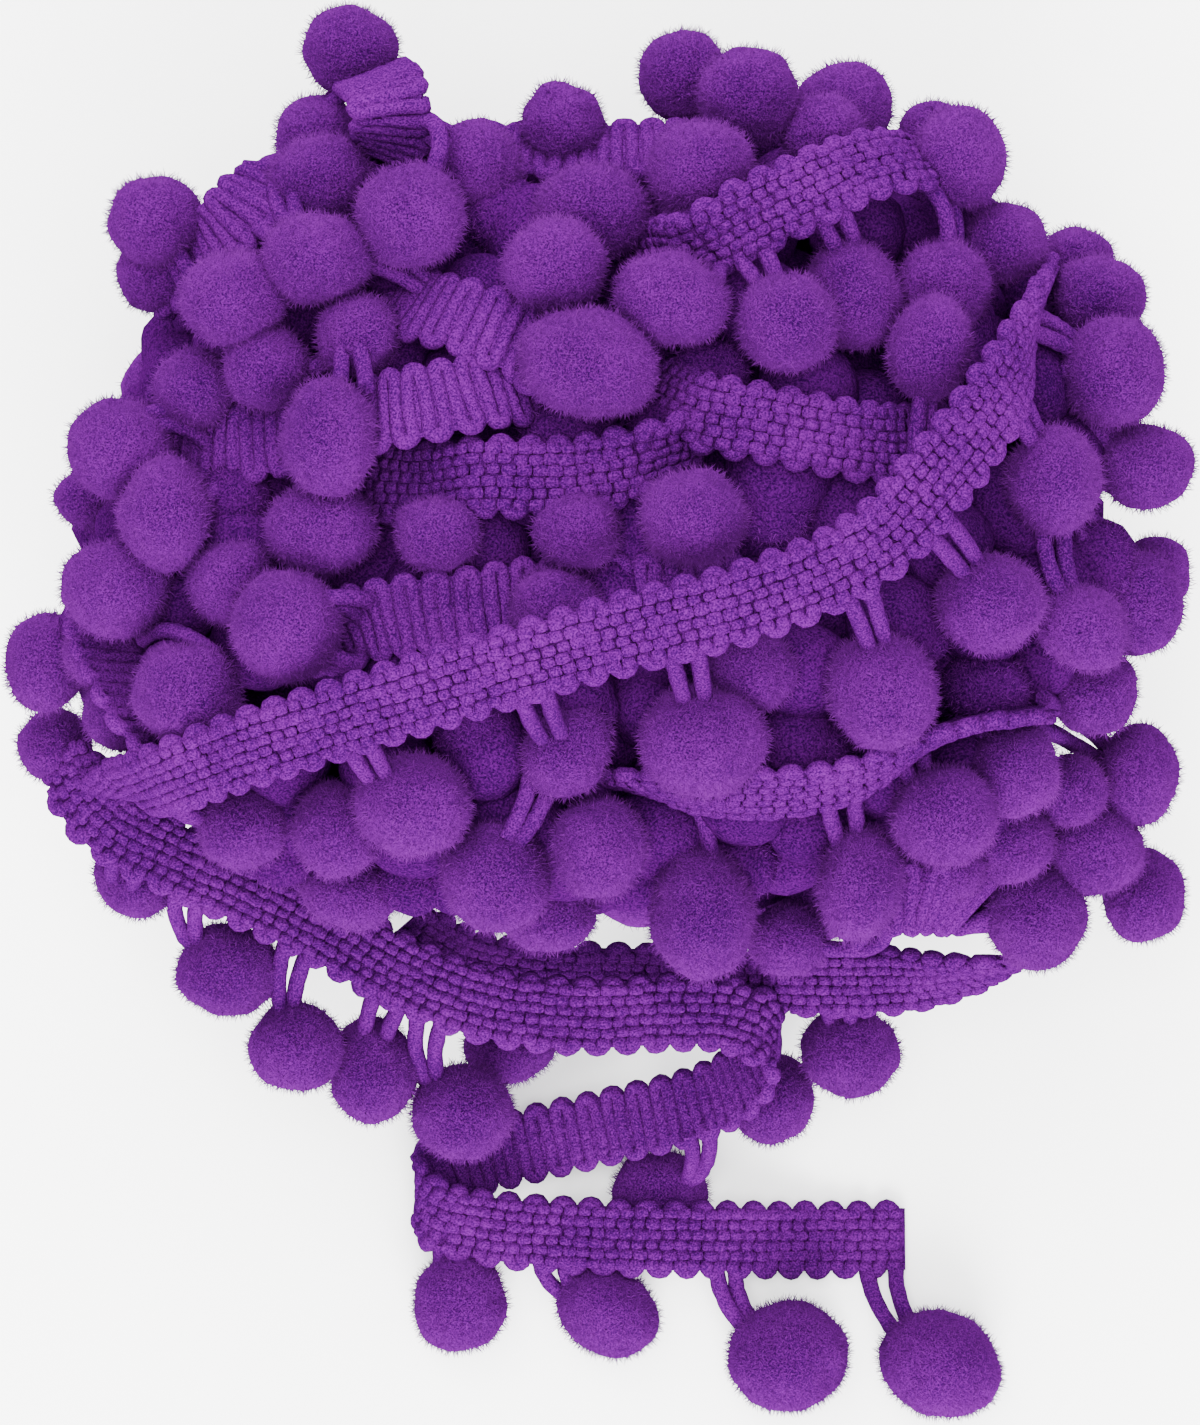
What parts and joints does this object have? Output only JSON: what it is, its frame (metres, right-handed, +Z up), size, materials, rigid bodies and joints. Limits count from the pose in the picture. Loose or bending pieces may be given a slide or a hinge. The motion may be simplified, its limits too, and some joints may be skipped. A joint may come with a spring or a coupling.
{
  "type": "pompom fringe trim wound into a loose ball",
  "caption": "Knitted tape with a row of pompoms on corded loops, wound into a loose ball with its free end laid in a Z beside it.",
  "frame": {"origin": "on the surface it rests on, at the middle of the ball's flat spot", "axes": "+Z up, +Y along the ball's winding axis away from the free end, +X across the turns"},
  "size_m": [0.1471, 0.1787, 0.0975],
  "materials": {
    "tape_yarn": "purple knitted yarn, matt with a soft sheen",
    "pompom_pile": "purple short cut pile, matt and velvety"
  },
  "bodies": {
    "root": {"wound_ball": "pompom_pile", "loose_tape": "tape_yarn", "rim_row_left": "pompom_pile", "rim_row_front": "pompom_pile", "free_row_back": "pompom_pile", "free_row_left": "pompom_pile", "free_row_front": "pompom_pile"}
  },
  "joints": []
}
